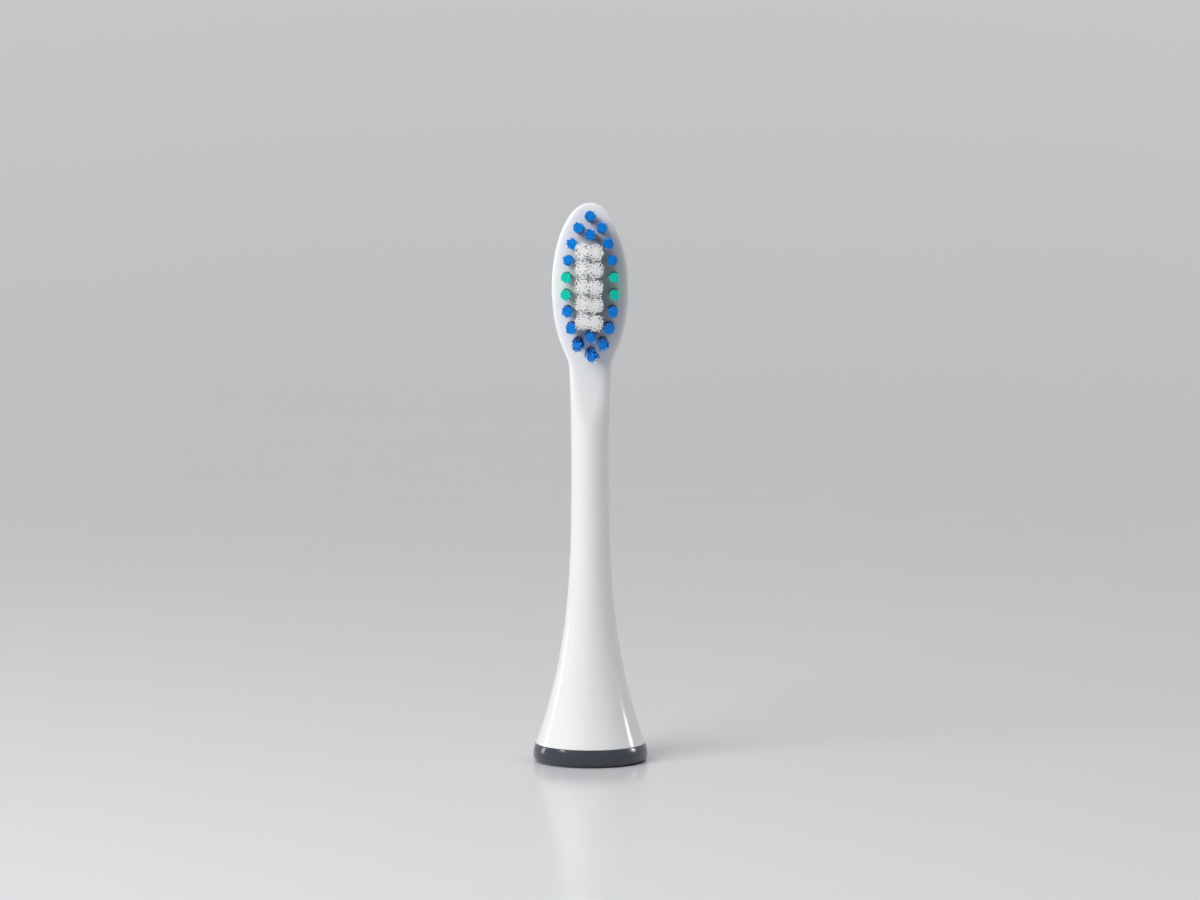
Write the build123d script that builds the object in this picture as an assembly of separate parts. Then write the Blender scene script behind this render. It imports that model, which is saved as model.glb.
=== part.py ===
from build123d import *

import os
from math import cos, hypot, pi, sin, sqrt

# Replacement head for a sonic electric toothbrush, in millimetres. It stands on its base ring:
# the origin is the centre of the ring's foot, +Z runs up the neck and the bristles point to -Y.

# Skirt and neck
total_height = 90.0
ring_height = 2.8  # the white skirt starts on top of the ring
skirt_radius = 8.87
flare_low_height = 14.0
flare_low_radius = 5.55
flare_high_height = 28.0
flare_high_radius = 3.62
waist_radius = 3.1  # narrowest place of the neck
waist_below = 17.4  # plate's shoulder down to the waist
throat_radius = 3.32  # where the neck runs into the plate

# Brush plate: two wide arcs under a rounded tip
head_half_width = 6.2
side_radius = 25.9
tip_radius = 3.9
shoulder_radius = 5.6  # fillet between plate and neck, seen from the front
plate_front = 2.4  # axis to the bristle face
plate_back = 2.5  # axis to the smooth back
back_round = 2.2
front_edge = 0.6
round_below = 13.0  # the neck is round up to this far below the shoulder
root_below = 1.5  # and has the plate's own section from this far below it
blend_steps = 6  # stretches between the two

# Hollow skirt
rim_wall = 1.85  # skirt's rim outside the mouth that takes the ring's lip
mouth_shoulder = 0.45  # stop above the ring's lip
ledge_height = 9.2  # the socket's flange seats here

# Base ring
ring_radius = 9.25
foot_edge = 0.75
lip_height = 2.4
lip_wall = 0.85
lip_clearance = 0.03
lip_end_gap = 0.1

# Drive socket
flange_radius = 5.2
flange_thickness = 1.4
flange_clearance = 0.12
guide_radius = 2.0  # round bore that guides the shaft
guide_length = 8.7
barrel_wall = 0.75  # round the guide
key_radius = 1.75  # keyed bore that turns with the shaft
key_length = 10.4
key_flat = 1.25  # axis to the flat of the keyed bore
socket_end = 1.0  # closed end above the keyed bore
socket_clearance = 0.03
pocket_end_gap = 0.3

# Spring leaf that presses on the shaft's flat
clip_width = 2.0
clip_thickness = 0.3
clip_length = 8.6
clip_press = 0.05  # how far the crest stands in past the flat
clip_clearance = 0.03
slot_clearance = 0.1

# Tufts
hole_radius = 0.8
hole_sides = 10
hole_depth = 3.2
drill_past = 1.0  # the drill runs on past the bristle face
tuft_clearance = 0.02
tuft_tip_radius = 0.88
outer_free_length = 9.6
inner_free_length = 10.2
flutes = 6
flute_share = 0.84  # inner radius of a flute to its outer radius
side_spaces = 9  # spaces between outer tufts from the tip to the neck end, down each side
tuft_inset = 2.35  # outer tufts to the plate's edge
field_half_length = 12.5  # oval that the lower tufts follow, below the plate's widest place
end_row_gap = 2.85  # end tuft to the single tuft inside it
white_rows = 5
white_pitch = 2.7
white_column = 1.24  # axis to each white column

# Anchor plates
anchor_thickness = 0.3
anchor_height = 1.3
anchor_fold = 0.35  # folded filaments under the plate
anchor_turn = 35.0  # degrees from the plate's width

# Places that follow from the sizes above
side_offset = side_radius - head_half_width
head_half_length = tip_radius + sqrt((side_radius - tip_radius) ** 2 - side_offset**2)
head_centre = total_height - head_half_length
shoulder_height = head_centre - sqrt(side_radius**2 - (side_offset + throat_radius) ** 2)
waist_height = shoulder_height - waist_below
round_top = shoulder_height - round_below
root_top = shoulder_height - root_below
mouth_radius = skirt_radius - rim_wall
mouth_top = ring_height + lip_height + lip_end_gap
guide_bottom = ledge_height - flange_thickness
guide_top = guide_bottom + guide_length
key_top = guide_top + key_length
socket_top = key_top + socket_end
barrel_radius = guide_radius + barrel_wall
pocket_radius = barrel_radius + socket_clearance
clip_bottom = guide_top + (key_length - clip_length) / 2
hole_floor = hole_depth - plate_front
touching = 1e-3  # a point this close to a line is on it

STANDING = (Align.CENTER, Align.CENTER, Align.MIN)
BEHIND = (Align.CENTER, Align.MIN, Align.MIN)


def turned(lines):
    """Solid turned round the axis from lines in (radius, height) that end on the axis."""
    return revolve(Plane.XZ * make_face(lines), Axis.Z)


def stepped(*points):
    """Solid turned round the axis from the corners of its outline."""
    return turned(Polyline(*points, close=True))


def skirt():
    """Skirt and lower neck: arcs that run into each other and stand upright at the waist."""
    waist = (waist_radius, waist_height)
    high = TangentArc([waist, (flare_high_radius, flare_high_height)], tangent=(0, -1))
    low = TangentArc([high @ 1, (flare_low_radius, flare_low_height)], tangent=high % 1)
    flare = TangentArc([low @ 1, (skirt_radius, ring_height)], tangent=low % 1)
    rest = Polyline(waist, (0, waist_height), (0, ring_height), flare @ 1)
    return turned([high, low, flare, rest])


def plate_outline():
    """Front outline of the plate, on a straight root as wide as the neck."""
    sides = [Pos(x, head_centre) * Circle(side_radius) for x in (-side_offset, side_offset)]
    lens = sides[0] & sides[1]
    lens = fillet(lens.vertices().sort_by(Axis.Y)[-1], tip_radius)
    root = Pos(0, waist_height) * Rectangle(
        2 * throat_radius, head_centre - waist_height, align=(Align.CENTER, Align.MIN)
    )
    outline = lens + root
    shoulders = outline.vertices().filter_by(lambda v: abs(v.Y - shoulder_height) < touching)
    return fillet(shoulders, shoulder_radius)


def plate():
    """Plate and its root, with a flat bristle face and a rounded back."""
    body = extrude(Plane.XZ.offset(-plate_back) * plate_outline(), plate_back + plate_front)
    back = body.faces().sort_by(Axis.Y)[-1]
    body = fillet(back.edges().filter_by(lambda e: e.center().Z > waist_height + touching), back_round)
    front = body.faces().sort_by(Axis.Y)[0]
    return chamfer(front.edges().filter_by(lambda e: e.center().Z > waist_height + touching), front_edge)


def at_height(flat, height):
    """Level section moved to a height."""
    return Pos(0, 0, height - flat.center().Z) * flat


def rounded(flat, radius, share):
    """Section drawn out towards a circle: each edge becomes an arc through its moved ends and middle."""

    def moved(point):
        out = Vector(point.X, point.Y)
        return point + (out.normalized() * radius - out) * share

    return make_face([ThreePointArc(*[moved(edge @ t) for t in (0, 0.5, 1)]) for edge in flat.edges()])


def blend(root):
    """Upper neck: round from the waist, then squarer and squarer into the plate's root."""
    sections = [at_height(rounded(root, waist_radius, 1), waist_height)]
    for step in range(blend_steps):
        way = step / blend_steps
        square = way * way * (3 - 2 * way)
        radius = waist_radius + way * (throat_radius - waist_radius)
        height = round_top + way * (root_top - round_top)
        sections.append(at_height(rounded(root, radius, 1 - square), height))
    return loft([*sections, root], ruled=True)


def moulding():
    """Skirt, neck and plate in one piece."""
    top = split(plate(), bisect_by=Plane.XY.offset(root_top), keep=Keep.TOP)
    return skirt() + blend(top.faces().sort_by(Axis.Z)[0]) + top


def hollow():
    """Space inside the skirt: mouth for the ring's lip, tapered cavity, and the socket's pocket."""
    return stepped(
        (0, ring_height),
        (mouth_radius, ring_height),
        (mouth_radius, mouth_top),
        (mouth_radius - mouth_shoulder, mouth_top),
        (flange_radius + flange_clearance, ledge_height),
        (pocket_radius, ledge_height),
        (pocket_radius, socket_top + pocket_end_gap),
        (0, socket_top + pocket_end_gap),
    )


def base_ring():
    """Ring with a bevelled foot, and a lip that presses up into the skirt's mouth."""
    lip_radius = mouth_radius - lip_clearance
    lip_top = ring_height + lip_height
    return stepped(
        (lip_radius - lip_wall, 0),
        (ring_radius - foot_edge, 0),
        (ring_radius, foot_edge),
        (skirt_radius, ring_height),
        (lip_radius, ring_height),
        (lip_radius, lip_top),
        (lip_radius - lip_wall, lip_top),
    )


def drive_socket():
    """Flange and barrel, with the round guide, the keyed bore and the leaf's slot."""
    body = stepped(
        (guide_radius, guide_bottom),
        (flange_radius, guide_bottom),
        (flange_radius, ledge_height),
        (barrel_radius, ledge_height),
        (barrel_radius, socket_top),
        (0, socket_top),
        (0, guide_top),
        (guide_radius, guide_top),
    )
    keyed = Pos(0, 0, guide_top) * Cylinder(key_radius, key_length, align=STANDING)
    keyed -= Pos(0, key_flat, guide_top) * Box(2 * key_radius, key_radius, key_length, align=BEHIND)
    slot = Box(clip_width + 2 * slot_clearance, barrel_radius, clip_length + 2 * slot_clearance, align=BEHIND)
    return body - keyed - Pos(0, 0, clip_bottom - slot_clearance) * slot


def shaft_clip():
    """Bowed leaf: its ends bear on the pocket's wall and its crest stands just past the flat."""
    wall = sqrt(pocket_radius**2 - (clip_width / 2) ** 2) - clip_clearance
    crest = key_flat - clip_press
    low, high = clip_bottom, clip_bottom + clip_length
    middle = (low + high) / 2
    outer = ThreePointArc((wall, low), (crest + clip_thickness, middle), (wall, high))
    inner = ThreePointArc((wall - clip_thickness, high), (crest, middle), (wall - clip_thickness, low))
    leaf = make_face([outer, Line(outer @ 1, inner @ 0), inner, Line(inner @ 1, outer @ 0)])
    return extrude(Plane.YZ * leaf, clip_width / 2, both=True)


def oval_point(angle):
    """Outer tufts' oval: the plate's outline moved inwards, blunter at the neck end."""
    length = head_half_length if sin(angle) > 0 else field_half_length
    across, along = length * cos(angle), head_half_width * sin(angle)
    inset = tuft_inset / hypot(across, along)
    return head_half_width * cos(angle) - across * inset, head_centre + length * sin(angle) - along * inset


def down_one_side(shares):
    """Points of the oval at these shares of the way from its tip to its neck end."""
    samples = 400
    line = [oval_point(pi / 2 - pi * i / samples) for i in range(samples + 1)]
    run = [0]
    for (x0, z0), (x1, z1) in zip(line, line[1:]):
        run.append(run[-1] + hypot(x1 - x0, z1 - z0))
    found = []
    for share in shares:
        nearest = min(range(samples + 1), key=lambda i: abs(run[i] - share * run[-1]))
        found.append(line[nearest])
    return found


def tuft_layout():
    """Places of the tufts by colour: an oval, a single tuft inside each end of it, and two white columns."""
    side = down_one_side([i / side_spaces for i in range(side_spaces + 1)])
    middle = down_one_side([0.5])[0][1]
    top, bottom = side[0][1], side[-1][1]
    blue = [(0, top), (0, top - end_row_gap), (0, bottom + end_row_gap), (0, bottom)]
    teal = []
    for row in range(1, side_spaces):
        x, z = side[row]
        beside_middle = abs(row - side_spaces / 2) < 1
        (teal if beside_middle else blue).extend([(-x, z), (x, z)])
    white = []
    for row in range(white_rows):
        z = middle + ((white_rows - 1) / 2 - row) * white_pitch
        white += [(-white_column, z), (white_column, z)]
    return {"blue": blue, "teal": teal, "white": white}


def in_plate(x, z):
    """Frame of a tuft hole: its floor, with +Z out of the bristle face."""
    return Pos(x, hole_floor, z) * Rot(90, 0, 0)


def drill():
    """Tuft hole, run on past the bristle face."""
    return extrude(RegularPolygon(hole_radius, hole_sides, major_radius=False), hole_depth + drill_past)


def anchor():
    """Plate that spans the hole on top of the fold."""
    reach = sqrt((hole_radius - tuft_clearance) ** 2 - (anchor_thickness / 2) ** 2)
    blade = Box(2 * reach, anchor_thickness, anchor_height, align=STANDING)
    return Pos(0, 0, anchor_fold) * Rot(0, 0, anchor_turn) * blade


def tuft(free_length):
    """Bundle of filaments: a fluted stub that widens from the hole's floor to its trimmed end."""
    mouth_size = hole_radius - tuft_clearance
    flare = (tuft_tip_radius - mouth_size) / free_length
    ends = []
    for height in (0, hole_depth + free_length):
        radius = mouth_size + flare * (height - hole_depth)
        outline = []
        for step in range(2 * flutes):
            reach = radius if step % 2 else radius * flute_share
            outline.append((reach * cos(pi * step / flutes), reach * sin(pi * step / flutes), height))
        ends.append(outline)
    low, high = ends
    faces = [Face(Wire.make_polygon(end)) for end in ends]
    for i in range(2 * flutes):
        faces.append(Face(Wire.make_polygon([low[i - 1], low[i], high[i], high[i - 1]])))
    return Solid(Shell(faces)) - anchor()


def save(name, shape):
    export_step(shape, f"parts/{name}.step")


os.makedirs("parts", exist_ok=True)
layout = tuft_layout()
holes = [place for places in layout.values() for place in places]
save("neck_shell", moulding() - hollow() - [in_plate(*place) * drill() for place in holes])
save("base_ring", base_ring())
save("drive_socket", drive_socket())
save("shaft_clip", shaft_clip())
save("tuft_anchors", Compound([in_plate(*place) * anchor() for place in holes]))
for colour, places in layout.items():
    bundle = tuft(inner_free_length if colour == "white" else outer_free_length)
    for number, place in enumerate(places, 1):
        save(f"tuft_{colour}_{number:02d}", in_plate(*place) * bundle)
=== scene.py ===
from math import cos, pi, radians, sin

import bmesh
import bpy
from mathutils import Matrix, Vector


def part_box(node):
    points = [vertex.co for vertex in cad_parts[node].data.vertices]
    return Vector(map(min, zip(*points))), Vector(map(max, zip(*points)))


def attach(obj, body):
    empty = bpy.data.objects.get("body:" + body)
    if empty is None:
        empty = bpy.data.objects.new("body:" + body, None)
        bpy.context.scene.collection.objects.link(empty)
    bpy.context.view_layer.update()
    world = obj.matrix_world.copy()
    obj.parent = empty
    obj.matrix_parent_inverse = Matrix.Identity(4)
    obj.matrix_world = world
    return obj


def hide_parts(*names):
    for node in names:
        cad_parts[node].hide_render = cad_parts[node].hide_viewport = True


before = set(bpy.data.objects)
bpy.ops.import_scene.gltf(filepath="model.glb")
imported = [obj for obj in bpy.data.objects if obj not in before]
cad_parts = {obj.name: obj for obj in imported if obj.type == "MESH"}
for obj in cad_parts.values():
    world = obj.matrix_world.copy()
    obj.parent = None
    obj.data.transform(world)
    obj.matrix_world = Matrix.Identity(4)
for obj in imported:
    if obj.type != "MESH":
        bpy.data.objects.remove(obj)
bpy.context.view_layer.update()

# Head of an electric toothbrush on a pale floor, in metres
mm = 0.001

# White moulding: skirt, neck and oval plate
rim_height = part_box("neck_shell")[0].z
tip_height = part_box("neck_shell")[1].z
skirt_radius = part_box("neck_shell")[1].x
rim_edge = 0.14 * mm
waist_height = 47.0 * mm
waist_radius = 3.1 * mm
flare_power = 2.85
neck_swell = 0.27 * mm  # growth of the neck over the swell's length above the waist
swell_length = 16.0 * mm
head_centre = 76.3 * mm
head_half_width = 6.2 * mm
plate_front = 2.4 * mm
plate_back = 2.5 * mm
flat_from = 53.0 * mm  # the round neck turns flat between these heights
flat_to = 67.0 * mm
oval_power = 2.03  # superellipses: the plate from the front, its tip from the side, and its sections
front_tip_power = 7
back_tip_power = 3
front_power = 6.5
back_power = 3.2
blend_power = 10  # how closely the plate's outline keeps to its oval where the neck runs in
around_steps = 168
along_steps = 300
rim_closeness = 0.01  # the smaller, the closer the rows at that end
tip_closeness = 0.05

# Inside of the skirt
mouth_radius = 7.02 * mm
mouth_height = 5.3 * mm
cavity_radius = 6.57 * mm
ledge_height = 9.2 * mm
ledge_radius = 5.32 * mm
pocket_radius = 2.78 * mm
pocket_height = 28.2 * mm

# Base ring
ring_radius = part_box("base_ring")[1].x
lip_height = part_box("base_ring")[1].z
lip_radius = 6.99 * mm
lip_wall = 0.85 * mm
foot_round = 0.85 * mm
side_round = 4.0 * mm
bulge_height = 1.1 * mm  # the ring is widest here
wall_lean = 24.0  # degrees that its wall leans in at the top
ring_edge = 0.1 * mm
turn_steps = 192
round_steps = 12
edge_steps = 4

# Tuft holes, and the anchor across each
hole_radius = 0.8 * mm
hole_sides = 32
hole_depth = 3.2 * mm
anchor_turn = radians(35)
anchor_half = 0.15 * mm
parting_height = 1.6 * mm  # the filaments part round the anchor below this height

# Filaments
tuft_radius = 0.78 * mm
filament_sides = 6
hole_rows = 2  # rows of a filament's mesh in its hole, and along its free length
free_rows = 7
end_closeness = 1.7  # the larger, the closer the rows near the free end
golden_turn = 2.39996
blunt_end = 0.8  # share of its thickness that a filament keeps at its rounded end
seeds_apart = 10

# Field of tufts: cut to a dome, with free ends that sink and fan out a little
trim_curve = 55.0  # slope of the cut across the field, for each metre off its middle
trim_curve_along = 11.0
ends_sink = 0.1 * mm
ends_fan = 0.025  # lean away from the field's middle, for each metre off it
white_aside = 0.19 * mm  # lean of the white tufts to the left
white_gather = 0.17  # their lean to the middle, for each metre off it
white_stagger = 0.1  # their lean up at the left and down at the right, for each metre off the middle

# Bundles: deep and bright colour, where the deep colour also stands in for painted shade toward the roots,
# and the sizes that the tuft's maker takes
nylon_colours = {
    "blue": ((0.0, 0.09, 0.44), (0.0, 0.34, 1.0)),
    "teal": ((0.002, 0.4, 0.32), (0.005, 0.86, 0.7)),
    "white": ((0.92, 0.92, 0.92), (0.97, 0.97, 0.97)),
}
bundles = {
    "blue": {
        "Filaments": 78,
        "Filament Radius": 0.1 * mm,
        "End Radius": 0.96 * mm,
        "Ragged": 0.13 * mm,
        "Dome": 0.1 * mm,
        "Uneven": 0.05 * mm,
        "Fan": 0.0,
        "Squareness": 0.0,
    },
    "teal": {
        "Filaments": 74,
        "Filament Radius": 0.1 * mm,
        "End Radius": 0.92 * mm,
        "Ragged": 0.08 * mm,
        "Dome": 0.08 * mm,
        "Uneven": 0.04 * mm,
        "Fan": 0.0,
        "Squareness": 0.0,
    },
    "white": {
        "Filaments": 200,
        "Filament Radius": 0.112 * mm,
        "End Radius": 1.25 * mm,
        "Ragged": 0.24 * mm,
        "Dome": 0.08 * mm,
        "Uneven": 0.04 * mm,
        "Fan": 0.12,
        "Squareness": 0.08,
    },
}
splayed = {  # the lowest tufts lean down, and their filaments stray
    "tuft_blue_04": {"Lean": (0.35 * mm, 0.0, -0.45 * mm), "Ragged": 0.45 * mm},
    "tuft_blue_15": {"Lean": (-0.05 * mm, 0.0, -0.45 * mm), "Ragged": 0.35 * mm},
    "tuft_blue_16": {"Lean": (0.1 * mm, 0.0, -0.4 * mm), "Ragged": 0.25 * mm},
}

brush_middle = Vector((0, 0, tip_height / 2))

# Floor that sweeps up into a backdrop, and fades into the sky's tone away from the brush
floor_level = -0.01 * mm
floor_half_width = 4.0
floor_near = -4.0
sweep_from = 0.5
sweep_radius = 1.2
sweep_steps = 30
backdrop_height = 3.0
fade_from = 0.25
fade_to = 1.5

# Sky: its strength as light, and as it shows
sky_tone = (0.97, 0.98, 1.0)
sky_light = 0.11
sky_shown = 0.6

# Camera: a long lens, a little above the brush, aimed just beside its axis
lens_mm = 100.0
sensor_mm = 36.0
camera_place = (1.55 * mm, -535.5 * mm, 86.3 * mm)
camera_pitch = radians(3.85)


class Value:
    """A socket in Python arithmetic: every operator adds a Math node to the socket's tree."""

    def __init__(self, graph, socket):
        self.graph = graph
        self.socket = socket

    def __add__(self, other):
        return self.graph.math("ADD", self, other)

    def __radd__(self, other):
        return self.graph.math("ADD", other, self)

    def __sub__(self, other):
        return self.graph.math("SUBTRACT", self, other)

    def __rsub__(self, other):
        return self.graph.math("SUBTRACT", other, self)

    def __mul__(self, other):
        return self.graph.math("MULTIPLY", self, other)

    def __rmul__(self, other):
        return self.graph.math("MULTIPLY", other, self)

    def __truediv__(self, other):
        return self.graph.math("DIVIDE", self, other)

    def __rtruediv__(self, other):
        return self.graph.math("DIVIDE", other, self)

    def __pow__(self, other):
        return self.graph.math("POWER", self, other)

    def __abs__(self):
        return self.graph.math("ABSOLUTE", self)

    def at_least(self, other):
        return self.graph.math("MAXIMUM", self, other)

    def at_most(self, other):
        return self.graph.math("MINIMUM", self, other)

    def above(self, other):
        return self.graph.math("GREATER_THAN", self, other)

    def sign(self):
        return self.graph.math("SIGN", self)

    def cos(self):
        return self.graph.math("COSINE", self)

    def sin(self):
        return self.graph.math("SINE", self)

    def eased(self):
        """Smooth step of a value from 0 to 1."""
        share = self.at_least(0).at_most(1)
        return share * share * (3 - 2 * share)

    def rounded(self, power):
        """Height of a superellipse of this power at a share of its half length."""
        return (1 - self.at_least(0).at_most(1) ** power).at_least(0) ** (1 / power)


class Graph:
    """A node tree written as expressions on its sockets."""

    def __init__(self, tree):
        self.tree = tree

    def add(self, kind, settings=None, inputs=None, output=0):
        """Adds a node, sets it up, feeds its sockets and gives one of its outputs."""
        node = self.tree.nodes.new(kind)
        for name, setting in (settings or {}).items():
            setattr(node, name, setting)
        for key, given in (inputs or {}).items():
            self.feed(self.find(node.inputs, key), given)
        return Value(self, self.find(node.outputs, output))

    def find(self, sockets, key):
        shown = [socket for socket in sockets if socket.enabled]
        if isinstance(key, int):
            return shown[key]
        return next(socket for socket in shown if socket.name == key)

    def feed(self, socket, given):
        for one in given if isinstance(given, list) else [given]:
            if isinstance(one, Value):
                self.tree.links.new(one.socket, socket)
            else:
                socket.default_value = one

    def math(self, operation, *operands):
        return self.add("ShaderNodeMath", {"operation": operation}, dict(enumerate(operands)))

    def vector(self, x, y, z):
        return self.add("ShaderNodeCombineXYZ", {}, {"X": x, "Y": y, "Z": z})

    def parts(self, vector):
        node = self.add("ShaderNodeSeparateXYZ", {}, {"Vector": vector}).socket.node
        return [Value(self, socket) for socket in node.outputs]

    def seen(self):
        """1 for a ray of the camera, a mirror or glass, and 0 for one that gathers light."""
        kinds = ("Camera", "Glossy", "Transmission")
        camera, glossy, through = [self.add("ShaderNodeLightPath", output=f"Is {kind} Ray") for kind in kinds]
        return camera.at_least(glossy).at_least(through)


class Maker(Graph):
    """A Geometry Nodes tree with named inputs."""

    def __init__(self, name, inputs):
        super().__init__(bpy.data.node_groups.new(name, "GeometryNodeTree"))
        self.tree.interface.new_socket("Geometry", in_out="OUTPUT", socket_type="NodeSocketGeometry")
        for label, kind in inputs.items():
            self.tree.interface.new_socket(label, in_out="INPUT", socket_type=f"NodeSocket{kind}")
        source = self.tree.nodes.new("NodeGroupInput")
        self.given = {label: Value(self, source.outputs[label]) for label in inputs}

    def store(self, geometry, name, value, kind="FLOAT"):
        inputs = {"Geometry": geometry, "Name": name, "Value": value}
        return self.add("GeometryNodeStoreNamedAttribute", {"data_type": kind}, inputs)

    def stored(self, name, kind="FLOAT"):
        return self.add("GeometryNodeInputNamedAttribute", {"data_type": kind}, {"Name": name})

    def drawn(self, low, high, seed):
        """Random number for each point."""
        return self.add("FunctionNodeRandomValue", {}, {"Min": low, "Max": high, "Seed": seed})

    def close(self, geometry):
        """Ends the tree: real geometry, smooth, with the material given."""
        real = self.add("GeometryNodeRealizeInstances", {}, {"Geometry": geometry})
        smooth = self.add("GeometryNodeSetShadeSmooth", {}, {"Geometry": real})
        inputs = {"Geometry": smooth, "Material": self.given["Material"]}
        painted = self.add("GeometryNodeSetMaterial", {}, inputs)
        self.tree.links.new(painted.socket, self.tree.nodes.new("NodeGroupOutput").inputs[0])

    def mesh(self, values, points=()):
        """Plain mesh that the tree makes from these values, standing on these points."""
        base = bpy.data.meshes.new("base")
        base.from_pydata(points, [], [])
        holder = bpy.data.objects.new("holder", base)
        bpy.context.scene.collection.objects.link(holder)
        modifier = holder.modifiers.new("maker", "NODES")
        modifier.node_group = self.tree
        for socket in self.tree.interface.items_tree:
            if socket.name in values:
                modifier[socket.identifier] = values[socket.name]
        evaluated = holder.evaluated_get(bpy.context.evaluated_depsgraph_get())
        made = bpy.data.meshes.new_from_object(evaluated)
        bpy.data.objects.remove(holder)
        return made


class Finish(Graph):
    """A material: a Principled shader, and the patterns that feed it."""

    def __init__(self, name, constants):
        self.material = bpy.data.materials.new(name)
        self.material.use_nodes = True
        super().__init__(self.material.node_tree)
        self.shader = next(node for node in self.tree.nodes if node.type == "BSDF_PRINCIPLED")
        self.set(constants)
        self.place = self.add("ShaderNodeTexCoord", output="Object")

    def set(self, inputs):
        for name, given in inputs.items():
            self.feed(self.shader.inputs[name], given)

    def noise(self, scale, detail=3.0, stretch=(1, 1, 1)):
        """Cloudy pattern from 0 to 1, with this many features to the metre."""
        place = self.add("ShaderNodeMapping", {}, {"Vector": self.place, "Scale": stretch})
        return self.add("ShaderNodeTexNoise", {}, {"Vector": place, "Scale": scale, "Detail": detail})

    def attribute(self, name):
        return self.add("ShaderNodeAttribute", {"attribute_name": name}, output="Fac")

    def mix(self, factor, first, second):
        inputs = {"Factor": factor, "A": (*first, 1), "B": (*second, 1)}
        return self.add("ShaderNodeMix", {"data_type": "RGBA"}, inputs)

    def bump(self, height, distance, strength=1.0):
        inputs = {"Height": height, "Distance": distance, "Strength": strength}
        return self.add("ShaderNodeBump", {}, inputs)


def white_moulding_finish():
    """Bright injection-moulded plastic: an even gloss with the faint peel of a polished mould."""
    finish = Finish("white_plastic", {"IOR": 1.49, "Subsurface Weight": 0.06, "Subsurface Scale": 0.8 * mm})
    cloud = finish.noise(60, 2)
    peel = finish.noise(1400, 2)
    finish.set(
        {
            "Base Color": finish.mix(cloud, (0.82, 0.82, 0.815), (0.86, 0.86, 0.855)),
            "Roughness": 0.1 + 0.05 * cloud + 0.04 * peel,
            "Normal": finish.bump(peel, 0.004 * mm, 0.35),
        }
    )
    return finish.material


def slate_ring_finish():
    """Dark blue-grey gloss plastic."""
    finish = Finish("ring_plastic", {"IOR": 1.52, "Coat Weight": 0.25, "Coat Roughness": 0.06})
    cloud = finish.noise(150, 3)
    peel = finish.noise(1800, 2)
    finish.set(
        {
            "Base Color": finish.mix(cloud, (0.026, 0.031, 0.044), (0.037, 0.043, 0.06)),
            "Roughness": 0.16 + 0.08 * cloud,
            "Normal": finish.bump(peel, 0.004 * mm, 0.3),
        }
    )
    return finish.material


def socket_finish():
    """Natural low-friction plastic with a dull, slightly streaky skin."""
    finish = Finish("socket_plastic", {"IOR": 1.48})
    streaks = finish.noise(700, 3, (1, 1, 0.15))
    finish.set(
        {
            "Base Color": finish.mix(streaks, (0.72, 0.71, 0.67), (0.82, 0.81, 0.77)),
            "Roughness": 0.42 + 0.16 * streaks,
            "Normal": finish.bump(streaks, 0.01 * mm, 0.3),
        }
    )
    return finish.material


def rolled_metal(name, dark, bright, stretch):
    """Thin metal strip with fine rolling lines."""
    finish = Finish(name, {"Metallic": 1.0})
    lines = finish.noise(4000, 2, stretch)
    finish.set(
        {
            "Base Color": finish.mix(lines, dark, bright),
            "Roughness": 0.22 + 0.2 * lines,
            "Normal": finish.bump(lines, 0.003 * mm, 0.4),
        }
    )
    return finish.material


def nylon_finish(name, deep, bright):
    """Filaments of one colour: each has its own random shade of it, and painted shade darkens them toward
    their roots, so the free ends are the brighter.
    """
    finish = Finish(name, {"IOR": 1.53})
    shade = finish.attribute("shade")
    height = finish.attribute("height")
    grain = finish.noise(5000, 2)
    # Painted shade: the height term darkens each filament toward its root, where its neighbours shade it, and
    # leaves the free end bright; shade and grain are random tone.
    tone = 0.26 * shade + 0.75 * height * height + 0.2 * grain
    finish.set(
        {
            "Base Color": finish.mix(tone.at_most(1), deep, bright),
            "Roughness": 0.3 + 0.15 * shade,
            "Normal": finish.bump(grain, 0.004 * mm, 0.3),
        }
    )
    return finish.material


def floor_finish():
    """Pale satin sheet that fades into the sky far from the brush."""
    finish = Finish("floor", {"IOR": 1.45, "Specular IOR Level": 0.35})
    cloud = finish.noise(3, 2)
    fine = finish.noise(40, 3)
    finish.set(
        {
            "Base Color": finish.mix(cloud, (0.74, 0.75, 0.765), (0.78, 0.79, 0.805)),
            "Roughness": 0.17 + 0.05 * fine,
        }
    )
    x, y, z = finish.parts(finish.place)
    distance = (x * x + y * y + z * z) ** 0.5
    far = ((distance - fade_from) / (fade_to - fade_from)).eased()
    glow = finish.add("ShaderNodeEmission", {}, {"Color": (*sky_tone, 1), "Strength": sky_shown})
    sheet = Value(finish, finish.shader.outputs["BSDF"])
    faded = finish.add("ShaderNodeMixShader", {}, {0: far * finish.seen(), 1: sheet, 2: glow})
    ending = next(node for node in finish.tree.nodes if node.type == "OUTPUT_MATERIAL")
    finish.feed(ending.inputs["Surface"], faded)
    return finish.material


def arc(centre, radius, start, end, steps):
    """Points of an arc in a flat outline, from one angle in degrees to another."""
    turns = [radians(start + (end - start) * step / steps) for step in range(steps + 1)]
    return [(centre[0] + radius * cos(turn), centre[1] + radius * sin(turn)) for turn in turns]


def turned(outline):
    """Mesh of a closed outline in (radius, height) turned round the axis."""
    turns = [2 * pi * step / turn_steps for step in range(turn_steps)]
    shape = bmesh.new()
    rings = [[shape.verts.new((r * cos(turn), r * sin(turn), z)) for turn in turns] for r, z in outline]
    for row, ring in enumerate(rings):
        if outline[row - 1][0] == 0 and outline[row][0] == 0:
            continue
        for step in range(turn_steps):
            before = rings[row - 1]
            shape.faces.new((before[step - 1], before[step], ring[step], ring[step - 1]))
    bmesh.ops.remove_doubles(shape, verts=shape.verts, dist=0.0001 * mm)
    bmesh.ops.recalc_face_normals(shape, faces=shape.faces)
    mesh = bpy.data.meshes.new("turned")
    shape.to_mesh(mesh)
    shape.free()
    return mesh


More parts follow.
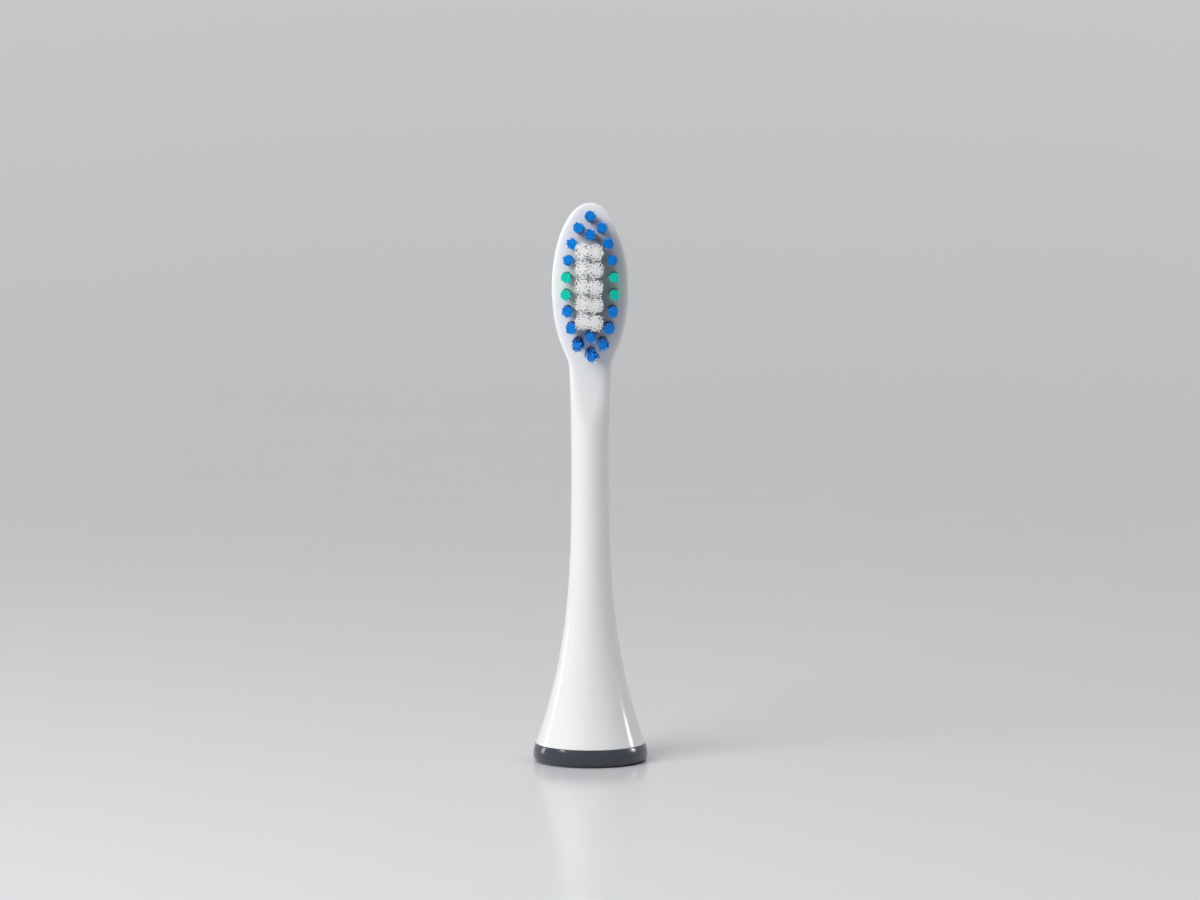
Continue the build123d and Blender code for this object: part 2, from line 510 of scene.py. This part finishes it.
def moulding_maker():
    """Closed skin of the moulding: a round neck that turns into a flat-fronted oval plate."""
    maker = Maker(
        "head_moulding",
        {
            "Hole Places": "Geometry",
            "Hollow": "Object",
            "Material": "Material",
            "Around": "Int",
            "Along": "Int",
            "Rim Height": "Float",
            "Tip Height": "Float",
            "Skirt Radius": "Float",
            "Waist Height": "Float",
            "Waist Radius": "Float",
            "Half Width": "Float",
            "Head Centre": "Float",
            "Front": "Float",
            "Back": "Float",
            "Hole Radius": "Float",
            "Hole Depth": "Float",
        },
    )
    size = maker.given
    rim, top, centre = size["Rim Height"], size["Tip Height"], size["Head Centre"]
    half_width, half_length = size["Half Width"], top - centre

    # A flat sheet, run round the axis and up it, with closer rows at the rim and the tip
    inputs = {"Size X": 1.0, "Size Y": 1.0, "Vertices X": size["Around"], "Vertices Y": size["Along"]}
    sheet = maker.add("GeometryNodeMeshGrid", {}, inputs)
    across, along, _ = maker.parts(maker.add("GeometryNodeInputPosition"))
    turn = (across + 0.5) * (2 * pi)
    row = 1 / (size["Along"] - 1)
    run = ((along + 0.5 - row) / (1 - row)).at_least(0)
    run = (1 + rim_closeness) * run * run / (run + rim_closeness)
    left = 1 - run
    height = top - (top - rim) * (1 + tip_closeness) * left * left / (left + tip_closeness)
    on_skin = (along + 0.5).above(0.5 * row)

    # Radius of the neck, with a small edge at the rim
    below = ((size["Waist Height"] - height) / (size["Waist Height"] - rim)).at_least(0)
    above = ((height - size["Waist Height"]) / swell_length).at_least(0)
    neck = size["Waist Radius"] + (size["Skirt Radius"] - size["Waist Radius"]) * below**flare_power
    neck = neck + neck_swell * above * above
    edge = ((rim + rim_edge - height) / rim_edge).at_least(0)
    neck = neck - rim_edge * (1 - edge.rounded(2))

    # Width and depths of the section at this height
    flat = ((height - flat_from) / (flat_to - flat_from)).eased()
    oval = (abs(height - centre) / half_length).rounded(oval_power)
    fading = neck / half_width * (1 - ((height - flat_to) / (centre - flat_to)).eased())
    width = half_width * (oval**blend_power + fading**blend_power) ** (1 / blend_power)
    tip_share = (height - centre) / half_length
    front = neck + flat * (size["Front"] * tip_share.rounded(front_tip_power) - neck)
    back = neck + flat * (size["Back"] * tip_share.rounded(back_tip_power) - neck)

    # Superellipse: square at the bristle face, softer at the back
    on_back = turn.sin().above(0)
    depth = front + on_back * (back - front)
    power = 2 + flat * (front_power - 2 + on_back * (back_power - front_power))
    reach = on_skin * (abs(turn.cos()) ** power + abs(turn.sin()) ** power) ** (-1 / power)
    place = maker.vector(width * turn.cos() * reach, depth * turn.sin() * reach, height)
    skin = maker.add("GeometryNodeSetPosition", {}, {"Geometry": sheet, "Position": place})
    skin = maker.add("GeometryNodeMergeByDistance", {}, {"Geometry": skin, "Distance": 0.0005 * mm})

    # Tuft holes and the hollow skirt
    inputs = {"Vertices": hole_sides, "Radius": size["Hole Radius"], "Depth": 2 * size["Hole Depth"]}
    drill = maker.add("GeometryNodeMeshCylinder", {}, inputs)
    inputs = {"Points": size["Hole Places"], "Instance": drill, "Rotation": (pi / 2, 0, 0)}
    drills = maker.add("GeometryNodeInstanceOnPoints", {}, inputs)
    drills = maker.add("GeometryNodeRealizeInstances", {}, {"Geometry": drills})
    hollow = maker.add("GeometryNodeObjectInfo", {}, {"Object": size["Hollow"]}, "Geometry")
    inputs = {"Mesh 1": skin, "Mesh 2": [drills, hollow]}
    cut = maker.add("GeometryNodeMeshBoolean", {"operation": "DIFFERENCE", "solver": "MANIFOLD"}, inputs)
    maker.close(cut)
    return maker


def tuft_maker():
    """Bundle of filaments from the floor of a hole to their rounded ends."""
    maker = Maker(
        "tuft",
        {
            "Material": "Material",
            "Seed": "Int",
            "Filaments": "Int",
            "Foot": "Vector",
            "Length": "Float",
            "Hole Depth": "Float",
            "Foot Radius": "Float",
            "End Radius": "Float",
            "Filament Radius": "Float",
            "Lean": "Vector",
            "Cut": "Vector",
            "Fan": "Float",
            "Squareness": "Float",
            "Dome": "Float",
            "Ragged": "Float",
            "Uneven": "Float",
        },
    )
    size = maker.given
    thin = size["Filament Radius"]

    # One filament of unit size, and a seat for each in the bundle
    rows = hole_rows + free_rows
    inputs = {"Vertices": filament_sides, "Side Segments": rows, "Radius": 1.0, "Depth": 1.0}
    filament = maker.add("GeometryNodeMeshCylinder", {}, inputs)
    x, y, z = maker.parts(maker.add("GeometryNodeInputPosition"))
    filament = maker.store(filament, "height", z + 0.5)
    number = maker.add("GeometryNodeInputIndex")
    points = maker.add("GeometryNodePoints", {}, {"Count": size["Filaments"]})
    ring = ((number + 0.5) / size["Filaments"]) ** 0.5
    golden = number * golden_turn
    seat = maker.vector(ring * golden.cos(), ring * golden.sin(), 0)
    stray = maker.vector(*[maker.drawn(-1.0, 1.0, size["Seed"] + i) for i in range(3)])
    points = maker.store(points, "seat", seat, "FLOAT_VECTOR")
    points = maker.store(points, "stray", stray, "FLOAT_VECTOR")
    points = maker.store(points, "shade", maker.drawn(0.0, 1.0, size["Seed"] + 3))
    bundle = maker.add("GeometryNodeInstanceOnPoints", {}, {"Points": points, "Instance": filament})
    bundle = maker.add("GeometryNodeRealizeInstances", {}, {"Geometry": bundle})

    # Heights along the filament: even in the hole, then closer together towards the end
    seat_x, seat_z, _ = maker.parts(maker.stored("seat", "FLOAT_VECTOR"))
    stray_x, stray_z, stray_y = maker.parts(maker.stored("stray", "FLOAT_VECTOR"))
    row = maker.stored("height") * rows
    short = 1 - ((row - hole_rows) / free_rows).at_least(0)
    free = 1 - short * short * short * (1 + end_closeness - end_closeness * short)
    cut_x, _, cut_z = maker.parts(size["Cut"])
    slope = size["End Radius"] * (cut_x * seat_x + cut_z * seat_z)
    outward = seat_x * seat_x + seat_z * seat_z
    length = size["Length"] + slope - size["Dome"] * outward + size["Uneven"] * stray_y
    height = row.at_most(hole_rows) / hole_rows * size["Hole Depth"] + free * (length - size["Hole Depth"])

    # The bundle parts round the anchor, widens to its end and strays a little
    spread = size["Foot Radius"] + (size["End Radius"] - size["Foot Radius"]) * free - thin
    beside = seat_z * cos(anchor_turn) - seat_x * sin(anchor_turn)
    keep = (anchor_half + thin) / (size["Foot Radius"] - thin)
    parted = 1 - ((height - parting_height) / (size["Hole Depth"] - parting_height)).eased()
    push = parted * keep * beside.sign() * (1 - abs(beside))
    lean_x, _, lean_z = maker.parts(size["Lean"])
    sway = free * free
    ragged = size["Ragged"] * outward
    end_x = sway * (lean_x + ragged * stray_x)
    end_z = sway * (lean_z + ragged * stray_z)
    corner = 4 * (seat_x * seat_z / outward) ** 2
    reach = spread * (1 + size["Squareness"] * sway * corner)
    middle_x = (seat_x - push * sin(anchor_turn)) * reach + end_x
    middle_z = (seat_z + push * cos(anchor_turn)) * reach * (1 + size["Fan"] * sway) + end_z

    # Each end is rounded off and cut to the slope of the field
    dome = ((thin - length + height) / thin).at_least(0)
    thick = thin * dome.rounded(2).at_least(blunt_end)
    slant = sway * thick * (cut_x * x + cut_z * y)
    foot_x, foot_y, foot_z = maker.parts(size["Foot"])
    place_x = foot_x + middle_x + x * thick
    place_z = foot_z + middle_z + y * thick
    place = maker.vector(place_x, foot_y - height - slant, place_z)
    maker.close(maker.add("GeometryNodeSetPosition", {}, {"Geometry": bundle, "Position": place}))
    return maker


def piece(name, mesh, slot, *nodes):
    """Shows a mesh as a piece of the object, in place of its solids."""
    shown = bpy.data.objects.new(name, mesh)
    bpy.context.scene.collection.objects.link(shown)
    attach(shown, "root")
    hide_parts(*nodes)
    return shown


def smoothed(mesh, material, angle=35):
    """Smooth shading with sharp edges kept."""
    mesh.materials.clear()
    mesh.materials.append(material)
    mesh.shade_smooth()
    mesh.set_sharp_from_angle(angle=radians(angle))
    return mesh


def copied(node):
    """Welded copy of a solid's mesh."""
    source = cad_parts[node].data
    mesh = bpy.data.meshes.new(node)
    mesh.from_pydata([v.co for v in source.vertices], [], [list(p.vertices) for p in source.polygons])
    shape = bmesh.new()
    shape.from_mesh(mesh)
    bmesh.ops.remove_doubles(shape, verts=shape.verts, dist=0.001 * mm)
    shape.to_mesh(mesh)
    shape.free()
    return mesh


def hole_place(node):
    """Centre of a tuft's foot, on the floor of its hole."""
    low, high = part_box(node)
    return Vector(((low.x + high.x) / 2, high.y, (low.z + high.z) / 2))


def add_moulding(tufts):
    hollow_outline = [
        (0, 0),
        (mouth_radius, 0),
        (mouth_radius, mouth_height),
        (cavity_radius, mouth_height),
        (ledge_radius, ledge_height),
        (pocket_radius, ledge_height),
        (pocket_radius, pocket_height),
        (0, pocket_height),
    ]
    hollow = bpy.data.objects.new("hollow", turned(hollow_outline))
    bpy.context.scene.collection.objects.link(hollow)
    values = {
        "Hollow": hollow,
        "Material": white_moulding_finish(),
        "Around": around_steps + 1,
        "Along": along_steps + 1,
        "Rim Height": rim_height,
        "Tip Height": tip_height,
        "Skirt Radius": skirt_radius,
        "Waist Height": waist_height,
        "Waist Radius": waist_radius,
        "Half Width": head_half_width,
        "Head Centre": head_centre,
        "Front": plate_front,
        "Back": plate_back,
        "Hole Radius": hole_radius,
        "Hole Depth": hole_depth,
    }
    floors = [hole_place(node) for node in tufts]
    mesh = moulding_maker().mesh(values, [place - Vector((0, hole_depth, 0)) for place in floors])
    bpy.data.objects.remove(hollow)
    piece("head_moulding", smoothed(mesh, values["Material"]), "white_plastic", "neck_shell")


def add_ring():
    outline = [
        (lip_radius - lip_wall, 0),
        *arc((ring_radius - foot_round, foot_round), foot_round, -90, 0, round_steps),
        *arc((ring_radius - side_round, bulge_height), side_round, 0, wall_lean, round_steps),
        *arc((skirt_radius - ring_edge, rim_height - ring_edge), ring_edge, wall_lean, 90, edge_steps),
        (lip_radius, rim_height),
        (lip_radius, lip_height),
        (lip_radius - lip_wall, lip_height),
    ]
    piece("ring", smoothed(turned(outline), slate_ring_finish()), "ring_plastic", "base_ring")


def add_inner_pieces():
    steel = rolled_metal("spring_steel", (0.5, 0.5, 0.51), (0.68, 0.68, 0.69), (1, 1, 0.05))
    brass = rolled_metal("anchor_brass", (0.66, 0.48, 0.2), (0.82, 0.64, 0.32), (1, 0.05, 1))
    piece("socket", smoothed(copied("drive_socket"), socket_finish()), "socket_plastic", "drive_socket")
    piece("spring_leaf", smoothed(copied("shaft_clip"), steel), "spring_steel", "shaft_clip")
    piece("anchors", smoothed(copied("tuft_anchors"), brass), "anchor_brass", "tuft_anchors")


def free_lean(colour, foot):
    """How far the free end of a tuft leans from its foot."""
    lean = Vector((0, 0, ends_fan * (foot.z - head_centre) - ends_sink))
    if colour == "white":
        lean += Vector((-white_aside - white_gather * foot.x, 0, -white_stagger * foot.x))
    return lean


def add_tufts(tufts):
    finishes = {colour: nylon_finish(f"{colour}_nylon", *pair) for colour, pair in nylon_colours.items()}
    maker = tuft_maker()
    for number, node in enumerate(tufts):
        colour = node.split("_")[1]
        low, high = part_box(node)
        foot = hole_place(node)
        values = {
            "Material": finishes[colour],
            "Seed": seeds_apart * number,
            "Foot": foot,
            "Length": high.y - low.y,
            "Hole Depth": hole_depth,
            "Foot Radius": tuft_radius,
            "Lean": free_lean(colour, foot),
            "Cut": (-trim_curve * foot.x, 0.0, -trim_curve_along * (foot.z - head_centre)),
            **bundles[colour],
            **splayed.get(node, {}),
        }
        mesh = smoothed(maker.mesh(values), finishes[colour], angle=50)
        piece(node.replace("tuft", "bristles"), mesh, f"{colour}_nylon", node)


def add_floor():
    """Floor that sweeps up into a backdrop behind the brush."""
    sweep = arc((sweep_from, floor_level + sweep_radius), sweep_radius, -90, 0, sweep_steps)
    outline = [(floor_near, floor_level), *sweep, (sweep_from + sweep_radius, backdrop_height)]
    shape = bmesh.new()
    rows = [[shape.verts.new((x, y, z)) for x in (-floor_half_width, floor_half_width)] for y, z in outline]
    for low, high in zip(rows, rows[1:]):
        shape.faces.new((low[0], low[1], high[1], high[0]))
    mesh = bpy.data.meshes.new("floor")
    shape.to_mesh(mesh)
    shape.free()
    floor = bpy.data.objects.new("floor", smoothed(mesh, floor_finish(), angle=60))
    bpy.context.scene.collection.objects.link(floor)
    return floor


def add_lamp(name, place, aim, size, watts, all_but=None):
    """Flat lamp of this width and height. It shows in gloss only if it leaves something unlit."""
    lamp = bpy.data.lights.new(name, "AREA")
    lamp.shape = "RECTANGLE"
    lamp.size, lamp.size_y = size
    lamp.energy = watts
    shown = bpy.data.objects.new(name, lamp)
    shown.visible_glossy = all_but is not None
    shown.light_linking.receiver_collection = all_but
    shown.location = place
    shown.rotation_euler = (Vector(aim) - Vector(place)).to_track_quat("-Z", "Y").to_euler()
    bpy.context.scene.collection.objects.link(shown)


def round_brush(azimuth, elevation, distance):
    """Place round the brush's middle: azimuth 0 is in front of it and 90 to its right, in degrees."""
    turn, rise = radians(azimuth), radians(elevation)
    way = Vector((sin(turn) * cos(rise), -cos(turn) * cos(rise), sin(rise)))
    return brush_middle + distance * way


def add_light(floor):
    """Wide soft lamps in front and overhead, and three small ones for the glints on the brush alone."""
    all_but_floor = bpy.data.collections.new("all_but_floor")
    all_but_floor.objects.link(floor)
    all_but_floor.collection_objects[0].light_linking.link_state = "EXCLUDE"
    add_lamp("key", round_brush(-65, 31, 1.2), brush_middle, (0.16, 0.19), 1.4, all_but_floor)
    add_lamp("front", round_brush(-45, 34, 0.6), brush_middle, (0.4, 0.34), 2.65)
    add_lamp("overhead", (0, 0.2, 2.5), (0, 1.4, 0.4), (3.5, 2.5), 32.0)
    add_lamp("right_strip", round_brush(102, 19, 1.0), brush_middle, (0.12, 0.3), 1.9, all_but_floor)
    add_lamp("left_strip", round_brush(-114, 13, 1.0), brush_middle, (0.1, 0.46), 1.0, all_but_floor)


def add_sky():
    """Dim even sky, which shows paler to the camera and in gloss."""
    world = bpy.data.worlds.new("studio")
    world.use_nodes = True
    graph = Graph(world.node_tree)
    sky = world.node_tree.nodes["Background"]
    graph.feed(sky.inputs["Color"], (*sky_tone, 1))
    graph.feed(sky.inputs["Strength"], sky_light + (sky_shown - sky_light) * graph.seen())
    bpy.context.scene.world = world


def add_camera():
    lens = bpy.data.cameras.new("camera")
    lens.lens = lens_mm
    lens.sensor_width = sensor_mm
    camera = bpy.data.objects.new("camera", lens)
    camera.location = camera_place
    camera.rotation_euler = (pi / 2 - camera_pitch, 0, 0)
    bpy.context.scene.collection.objects.link(camera)
    bpy.context.scene.camera = camera


tuft_nodes = sorted(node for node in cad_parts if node.startswith("tuft_") and node != "tuft_anchors")
add_moulding(tuft_nodes)
add_ring()
add_inner_pieces()
add_tufts(tuft_nodes)
add_light(add_floor())
add_sky()
add_camera()
bpy.context.scene.view_settings.view_transform = "Standard"
